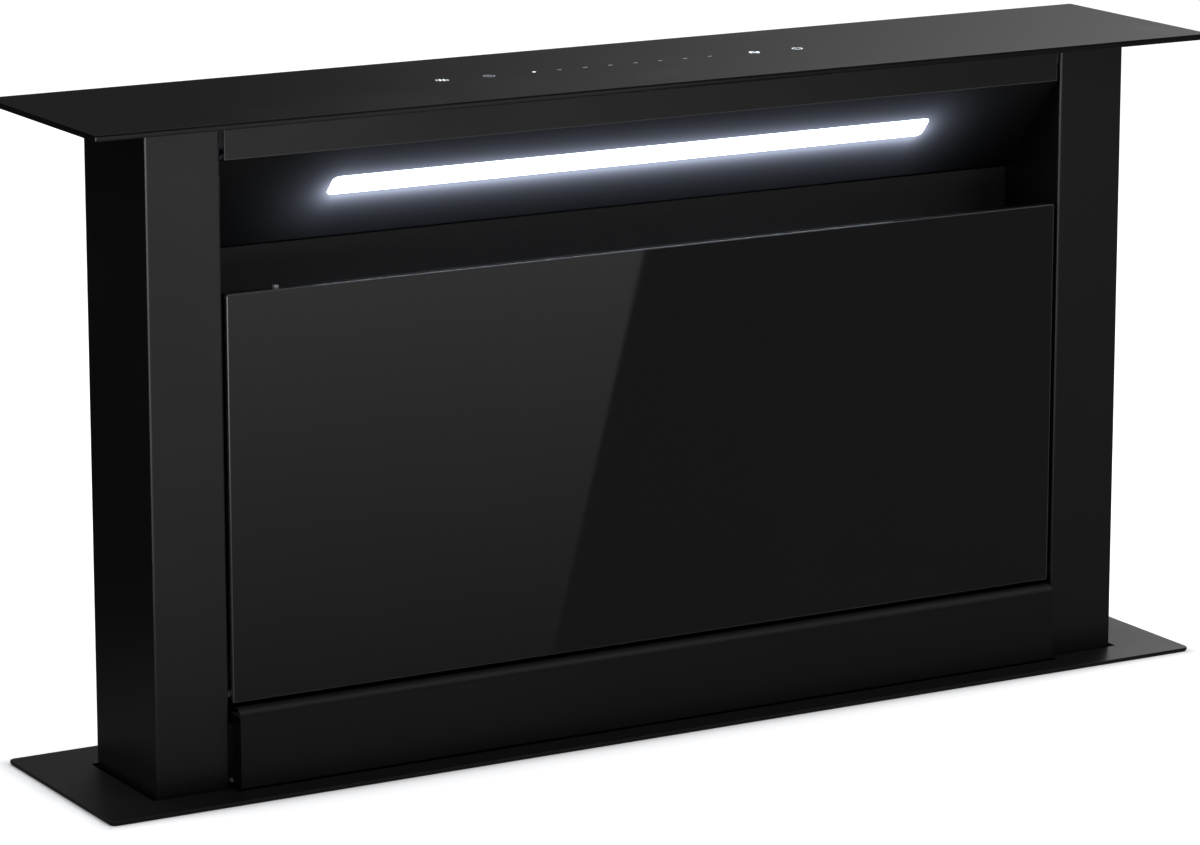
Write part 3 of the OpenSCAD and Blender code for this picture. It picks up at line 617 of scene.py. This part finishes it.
# repeated pieces, grown from points
def newTree(name, inputs):
    tree = bpy.data.node_groups.new(name, "GeometryNodeTree")
    kinds = {int: "NodeSocketInt", float: "NodeSocketFloat"}
    tree.interface.new_socket(name="Geometry", in_out="INPUT", socket_type="NodeSocketGeometry")
    for label, value in inputs:
        socket = tree.interface.new_socket(name=label, in_out="INPUT", socket_type=kinds[type(value)])
        socket.default_value = value
    tree.interface.new_socket(name="Material", in_out="INPUT", socket_type="NodeSocketMaterial")
    tree.interface.new_socket(name="Geometry", in_out="OUTPUT", socket_type="NodeSocketGeometry")
    return tree, tree.nodes.new("NodeGroupInput"), tree.nodes.new("NodeGroupOutput")


def finishTree(tree, given, out, instances):
    real = tree.nodes.new("GeometryNodeRealizeInstances")
    coat = tree.nodes.new("GeometryNodeSetMaterial")
    tree.links.new(instances, real.inputs["Geometry"])
    tree.links.new(real.outputs["Geometry"], coat.inputs["Geometry"])
    tree.links.new(given.outputs["Material"], coat.inputs["Material"])
    tree.links.new(coat.outputs["Geometry"], out.inputs["Geometry"])
    return tree


screwSizes = {"rear": {"radius": 3.0 * mm, "height": 1.6 * mm, "rows": 5},
              "cassette": {"radius": 3.6 * mm, "height": 2.0 * mm, "rows": 5},
              "foot": {"radius": 1.4 * mm, "height": 1.2 * mm},
              "top": 0.8, "recess": (1.15, 0.24)}


def makeScrewTree():
    # a pan head with a cross recess at every point, turned to the point's facing
    tree, given, out = newTree("screwHeads", [("Head Radius", 0.003), ("Head Height", 0.0016)])
    nodes, links = tree.nodes, tree.links
    head = nodes.new("GeometryNodeMeshCone")
    head.inputs["Vertices"].default_value = 28
    links.new(given.outputs["Head Radius"], head.inputs["Radius Bottom"])
    top = calc(nodes, links, "MULTIPLY", given.outputs["Head Radius"], screwSizes["top"])
    links.new(top, head.inputs["Radius Top"])
    links.new(given.outputs["Head Height"], head.inputs["Depth"])
    cut = nodes.new("GeometryNodeMeshBoolean")
    cut.operation = "DIFFERENCE"
    links.new(head.outputs["Mesh"], cut.inputs["Mesh 1"])
    long, slim = (calc(nodes, links, "MULTIPLY", given.outputs["Head Radius"], share)
                  for share in screwSizes["recess"])
    for across in (False, True):
        size = nodes.new("ShaderNodeCombineXYZ")
        links.new(slim if across else long, size.inputs["X"])
        links.new(long if across else slim, size.inputs["Y"])
        links.new(given.outputs["Head Height"], size.inputs["Z"])
        bar = nodes.new("GeometryNodeMeshCube")
        links.new(size.outputs[0], bar.inputs["Size"])
        lift = nodes.new("ShaderNodeCombineXYZ")
        links.new(given.outputs["Head Height"], lift.inputs["Z"])
        move = nodes.new("GeometryNodeTransform")
        links.new(bar.outputs["Mesh"], move.inputs["Geometry"])
        links.new(lift.outputs[0], move.inputs["Translation"])
        links.new(move.outputs["Geometry"], cut.inputs["Mesh 2"])
    facing = nodes.new("GeometryNodeInputNamedAttribute")
    facing.data_type = "FLOAT_VECTOR"
    facing.inputs["Name"].default_value = "facing"
    turn = nodes.new("FunctionNodeAlignRotationToVector")
    turn.axis = "Z"
    links.new(facing.outputs["Attribute"], turn.inputs["Vector"])
    spread = nodes.new("GeometryNodeInstanceOnPoints")
    links.new(given.outputs["Geometry"], spread.inputs["Points"])
    links.new(cut.outputs["Mesh"], spread.inputs["Instance"])
    links.new(turn.outputs["Rotation"], spread.inputs["Rotation"])
    return finishTree(tree, given, out, spread.outputs["Instances"])


def makeLatticeTree():
    # expanded metal: one diamond of flat strand at every point
    sizes = [("Cell Width", 0.014), ("Cell Height", 0.007), ("Strand", 0.0011)]
    tree, given, out = newTree("expandedMetal", sizes)
    nodes, links = tree.nodes, tree.links
    ring = nodes.new("GeometryNodeCurvePrimitiveCircle")
    ring.inputs["Resolution"].default_value = 4
    ring.inputs["Radius"].default_value = 0.5
    size = nodes.new("ShaderNodeCombineXYZ")
    links.new(given.outputs["Cell Width"], size.inputs["X"])
    links.new(given.outputs["Cell Height"], size.inputs["Y"])
    size.inputs["Z"].default_value = 1
    shape = nodes.new("GeometryNodeTransform")
    links.new(ring.outputs["Curve"], shape.inputs["Geometry"])
    links.new(size.outputs[0], shape.inputs["Scale"])
    strand = nodes.new("GeometryNodeCurvePrimitiveQuadrilateral")
    links.new(given.outputs["Strand"], strand.inputs["Width"])
    links.new(calc(nodes, links, "MULTIPLY", given.outputs["Strand"], 0.7), strand.inputs["Height"])
    solid = nodes.new("GeometryNodeCurveToMesh")
    links.new(shape.outputs["Geometry"], solid.inputs["Curve"])
    links.new(strand.outputs["Curve"], solid.inputs["Profile Curve"])
    spread = nodes.new("GeometryNodeInstanceOnPoints")
    links.new(given.outputs["Geometry"], spread.inputs["Points"])
    links.new(solid.outputs["Mesh"], spread.inputs["Instance"])
    return finishTree(tree, given, out, spread.outputs["Instances"])


def grow(name, tree, rows, mat, **sizes):
    # rows are (place, facing) pairs; the result is a plain mesh
    mesh = bpy.data.meshes.new(name + "Points")
    mesh.from_pydata([place for place, facing in rows], [], [])
    facing = mesh.attributes.new("facing", "FLOAT_VECTOR", "POINT")
    for i, row in enumerate(rows):
        facing.data[i].vector = row[1]
    holder = linkMesh(name + "Points", mesh)
    modifier = holder.modifiers.new("grow", "NODES")
    modifier.node_group = tree
    values = {label.replace("_", " "): value for label, value in sizes.items()}
    values["Material"] = mat
    for item in tree.interface.items_tree:
        if item.in_out == "INPUT" and item.name in values:
            modifier[item.identifier] = values[item.name]
    bpy.context.view_layer.update()
    grown = bpy.data.meshes.new_from_object(holder.evaluated_get(bpy.context.evaluated_depsgraph_get()))
    holder.modifiers.remove(modifier)
    bpy.data.objects.remove(holder)
    if "facing" in grown.attributes:
        grown.attributes.remove(grown.attributes["facing"])
    return linkMesh(name, grown)


def evenly(low, high, count):
    return [low + (high - low) * n / (count - 1) for n in range(count)]


def finishScrews(name, tree, rows, size, node, body):
    piece = grow(name, tree, rows, brightSteel, Head_Radius=size["radius"], Head_Height=size["height"])
    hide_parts(node)
    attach(piece, body)
    print(name, len(rows))


def makeScrews():
    tree = makeScrewTree()
    size = screwSizes["rear"]
    low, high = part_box("rear_screws")
    rows = [((x, low[1], z), (0, 1, 0)) for x in (low[0] + size["radius"], high[0] - size["radius"])
            for z in evenly(low[2] + size["radius"], high[2] - size["radius"], size["rows"])]
    finishScrews("rearScrews", tree, rows, size, "rear_screws", "tower")
    size = screwSizes["cassette"]
    low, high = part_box("cassette_screws")
    seat = size["height"]
    rows = [((x, y, z), (side, 0, 0)) for x, side in ((low[0] + seat, -1), (high[0] - seat, 1))
            for y in (low[1] + size["radius"], high[1] - size["radius"])
            for z in evenly(low[2] + size["radius"], high[2] - size["radius"], size["rows"])]
    finishScrews("cassetteScrews", tree, rows, size, "cassette_screws", "cassette")
    size = screwSizes["foot"]
    low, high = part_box("foot_screws")
    rows = [((x, high[1], (low[2] + high[2]) / 2), (0, -1, 0))
            for x in (low[0] + size["radius"], high[0] - size["radius"])]
    finishScrews("footScrews", tree, rows, size, "foot_screws", "tower")


filterSizes = {"lean": 8.308, "foot": (-32.5 * mm, 75.2 * mm), "gap": 2 * mm, "rim": 9 * mm, "long": 236 * mm,
               "side": 3 * mm, "cell": (14 * mm, 7 * mm), "strand": 1.1 * mm, "layers": (2.6 * mm, 4.2 * mm)}


def makeFilterMesh():
    tree = makeLatticeTree()
    low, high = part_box("filter_frames")
    width = (high[0] - low[0] - filterSizes["gap"]) / 2
    across, along = filterSizes["cell"]
    rim, strand = filterSizes["rim"], filterSizes["strand"]
    columns = int((width - 2 * rim - strand) / across)
    lines = int((filterSizes["long"] - 2 * rim - strand) / along)
    lean = Matrix.Rotation(-math.radians(filterSizes["lean"]), 4, "X")
    upright = Matrix.Rotation(math.pi / 2, 4, "X")
    sizes = {"Cell_Width": across, "Cell_Height": along, "Strand": strand}
    work = bmesh.new()
    for n in range(2):
        left = low[0] + n * (width + filterSizes["gap"])
        seat = Matrix.Translation((left, filterSizes["foot"][0], filterSizes["foot"][1])) @ lean
        for layer, depth in enumerate(filterSizes["layers"]):
            startX = width / 2 - (columns - 1 - layer) * across / 2
            startZ = filterSizes["long"] / 2 - (lines - 1 - layer) * along / 2
            rows = [((startX + i * across, startZ + j * along, 0), (0, 0, 1))
                    for i in range(columns - layer) for j in range(lines - layer)]
            sheet = grow("sheet", tree, rows, brightSteel, **sizes)
            sheet.data.transform(seat @ Matrix.Translation((0, depth, 0)) @ upright)
            work.from_mesh(sheet.data)
            bpy.data.objects.remove(sheet)
    piece = meshFrom("filterMesh", work, [brightSteel])
    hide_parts("filter_mesh")
    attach(piece, "tower")
    print("filter mesh", columns, "by", lines, "cells")


# stage: floor with the worktop's cut-out, world and lamps
floorSizes = {"half": 6.0, "cutX": 411.5 * mm, "cutFront": -68.5 * mm, "cutRear": 76.5 * mm,
              "level": -0.05 * mm}
# lift whitens the floor for the camera; the last two set the depth and reach of the painted contact shadow
# round the flange
floorLook = {"color": (0.86, 0.86, 0.87), "lift": 0.55, "drop": 0.48, "paintedShadowReach": 9 * mm}
floorMat = {"turn": -32.95, "edge": -0.1155, "blur": 0.004, "far": -2.4, "farLight": 0.74, "nearLight": 0.08,
            "dark": 0.10, "patch": 0.5, "patchX": (1.95, 1.55), "patchY": (-1.65, -2.2),
            "card": 2.6, "cardX": (-0.8, -1.8), "cardY": (0.35, -0.15),
            "behind": (-0.05, 0.4), "behindLight": 0.1}


def floorSeen(nodes, links, path):
    # the camera sees a white floor; close to the flange its camera-only lift is lowered by distance, a
    # painted contact shadow that also lets the real soft shadow there show
    lit = nodes.new("ShaderNodeBsdfDiffuse")
    lit.inputs["Color"].default_value = (*floorLook["color"], 1)
    glow = nodes.new("ShaderNodeEmission")
    axes = axesOf(nodes, links, objectPoint(nodes))
    past = [beyond(nodes, links, calc(nodes, links, "ABSOLUTE", axes[axis]), flangeSizes[size] / 2)
            for axis, size in (("X", "width"), ("Y", "depth"))]
    # painted contact shadow: the lift falls off near the flange's outline
    near = fade(nodes, links, distance(nodes, links, *past), floorLook["paintedShadowReach"])
    lift = calc(nodes, links, "MULTIPLY_ADD", near, -floorLook["drop"], floorLook["lift"])
    links.new(calc(nodes, links, "MULTIPLY", lift, path.outputs["Is Camera Ray"]), glow.inputs["Strength"])
    both = nodes.new("ShaderNodeAddShader")
    links.new(lit.outputs[0], both.inputs[0])
    links.new(glow.outputs[0], both.inputs[1])
    return both.outputs[0]


def floorMirrored(nodes, links):
    # in reflections the floor is a dim studio mat, lighter on one side of a straight edge and further out,
    # with a bright card on the left that draws the thin highlights on the upright edges
    where = objectPoint(nodes)
    flat = axesOf(nodes, links, where)
    turned = nodes.new("ShaderNodeMapping")
    turned.inputs["Rotation"].default_value = (0, 0, math.radians(floorMat["turn"]))
    links.new(where, turned.inputs["Vector"])
    across = axesOf(nodes, links, turned.outputs[0])["X"]
    step = ramp(nodes, links, across, floorMat["edge"], floorMat["edge"] + floorMat["blur"])
    further = ramp(nodes, links, flat["Y"], floorMat["far"], 0.0, floorMat["farLight"], floorMat["nearLight"])
    litPart = calc(nodes, links, "MULTIPLY", further, calc(nodes, links, "SUBTRACT", 1.0, step))
    patch = softArea(nodes, links, flat, floorMat["patchX"], floorMat["patchY"])
    darker = calc(nodes, links, "MULTIPLY_ADD", patch, floorMat["patch"], floorMat["dark"])
    both = calc(nodes, links, "MULTIPLY_ADD", step, darker, litPart)
    behind = ramp(nodes, links, flat["Y"], *floorMat["behind"], 1.0, floorMat["behindLight"])
    card = softArea(nodes, links, flat, floorMat["cardX"], floorMat["cardY"])
    card = calc(nodes, links, "MULTIPLY", card, floorMat["card"])
    mirror = nodes.new("ShaderNodeEmission")
    links.new(calc(nodes, links, "MULTIPLY_ADD", both, behind, card), mirror.inputs["Strength"])
    return mirror.outputs[0]


def makeFloor():
    half, z = floorSizes["half"], floorSizes["level"]
    xs = (-half, -floorSizes["cutX"], floorSizes["cutX"], half)
    ys = (-half, floorSizes["cutFront"], floorSizes["cutRear"], half)
    work = bmesh.new()
    grid = [[work.verts.new((x, y, z)) for x in xs] for y in ys]
    for j in range(3):
        for i in range(3):
            if (i, j) != (1, 1):
                work.faces.new((grid[j][i], grid[j][i + 1], grid[j + 1][i + 1], grid[j + 1][i]))
    mat = bpy.data.materials.new("paleFloor")
    mat.use_nodes = True
    nodes, links = mat.node_tree.nodes, mat.node_tree.links
    nodes.clear()
    out = nodes.new("ShaderNodeOutputMaterial")
    path = nodes.new("ShaderNodeLightPath")
    pick = nodes.new("ShaderNodeMixShader")
    links.new(path.outputs["Is Glossy Ray"], pick.inputs[0])
    links.new(floorSeen(nodes, links, path), pick.inputs[1])
    links.new(floorMirrored(nodes, links), pick.inputs[2])
    links.new(pick.outputs[0], out.inputs["Surface"])
    meshFrom("floor", work, [mat])


worldLook = {"soft": (0.95, 0.97, 1.0), "softLight": 0.42,
             "base": 0.03, "lowSky": 0.07, "lowSkyZ": (0.20, 0.30),
             "side": 0.24, "sideX": (0.42, 0.60), "sideY": (0.3, 0.6), "curve": 1.7,
             "rise": (0.16, 0.26, 0.85, 7.0), "ceiling": 0.42, "ceilingZ": (0.40, 0.75)}


def studioMirrored(nodes, links):
    # in reflections the studio is dark, with a soft light low on the right and a plain ceiling
    axes = axesOf(nodes, links, nodes.new("ShaderNodeTexCoord").outputs["Generated"])
    side = calc(nodes, links, "POWER", ramp(nodes, links, axes["X"], *worldLook["sideX"]), worldLook["curve"])
    glow = calc(nodes, links, "MULTIPLY", side, ramp(nodes, links, axes["Z"], *worldLook["rise"]))
    glow = calc(nodes, links, "MULTIPLY", glow, worldLook["side"])
    glow = calc(nodes, links, "MULTIPLY", glow, ramp(nodes, links, axes["Y"], *worldLook["sideY"]))
    ceiling = ramp(nodes, links, axes["Z"], *worldLook["ceilingZ"], 0.0, worldLook["ceiling"], smooth=True)
    base = worldLook["base"]
    lowSky = ramp(nodes, links, axes["Z"], *worldLook["lowSkyZ"], base, base + worldLook["lowSky"])
    return calc(nodes, links, "ADD", calc(nodes, links, "ADD", glow, ceiling), lowSky)


def setWorld():
    world = bpy.data.worlds.new("studio")
    bpy.context.scene.world = world
    world.use_nodes = True
    nodes, links = world.node_tree.nodes, world.node_tree.links
    nodes.clear()
    out = nodes.new("ShaderNodeOutputWorld")
    path = nodes.new("ShaderNodeLightPath")
    white = nodes.new("ShaderNodeBackground")
    white.inputs["Color"].default_value = (1, 1, 1, 1)
    soft = nodes.new("ShaderNodeBackground")
    soft.inputs["Color"].default_value = (*worldLook["soft"], 1)
    soft.inputs["Strength"].default_value = worldLook["softLight"]
    dim = nodes.new("ShaderNodeBackground")
    links.new(studioMirrored(nodes, links), dim.inputs["Strength"])
    gloss = nodes.new("ShaderNodeMixShader")
    links.new(path.outputs["Is Glossy Ray"], gloss.inputs[0])
    links.new(soft.outputs[0], gloss.inputs[1])
    links.new(dim.outputs[0], gloss.inputs[2])
    seen = nodes.new("ShaderNodeMixShader")
    links.new(path.outputs["Is Camera Ray"], seen.inputs[0])
    links.new(gloss.outputs[0], seen.inputs[1])
    links.new(white.outputs[0], seen.inputs[2])
    links.new(seen.outputs[0], out.inputs["Surface"])


lampRig = {
    "key": {"place": (1.9, -2.4, 2.4), "size": (1.8, 1.2), "power": 46},
    "fill": {"place": (-2.9, -1.4, 1.5), "size": (1.2, 1.6), "power": 2},
    "overhead": {"place": (0.2, 0.4, 3.2), "size": (2.6, 1.6), "power": 60},
}


def setLamps():
    for name, rig in lampRig.items():
        data = bpy.data.lights.new(name, "AREA")
        data.shape = "RECTANGLE"
        data.size, data.size_y = rig["size"]
        data.energy = rig["power"]
        lamp = bpy.data.objects.new(name, data)
        lamp.location = rig["place"]
        lamp.visible_glossy = False
        aim = Vector((0, 0, 0.25)) - Vector(rig["place"])
        lamp.rotation_euler = aim.to_track_quat("-Z", "Y").to_euler()
        bpy.context.scene.collection.objects.link(lamp)


setCamera()
bpy.context.scene.view_settings.view_transform = "Standard"
dressNodes()
makeCover()
makeDoorPane()
makeFlange()
makeTouchMarks()
print("cover, door, flange and marks made")
makeScrews()
makeFilterMesh()
makeFloor()
setWorld()
setLamps()
print("stage set")
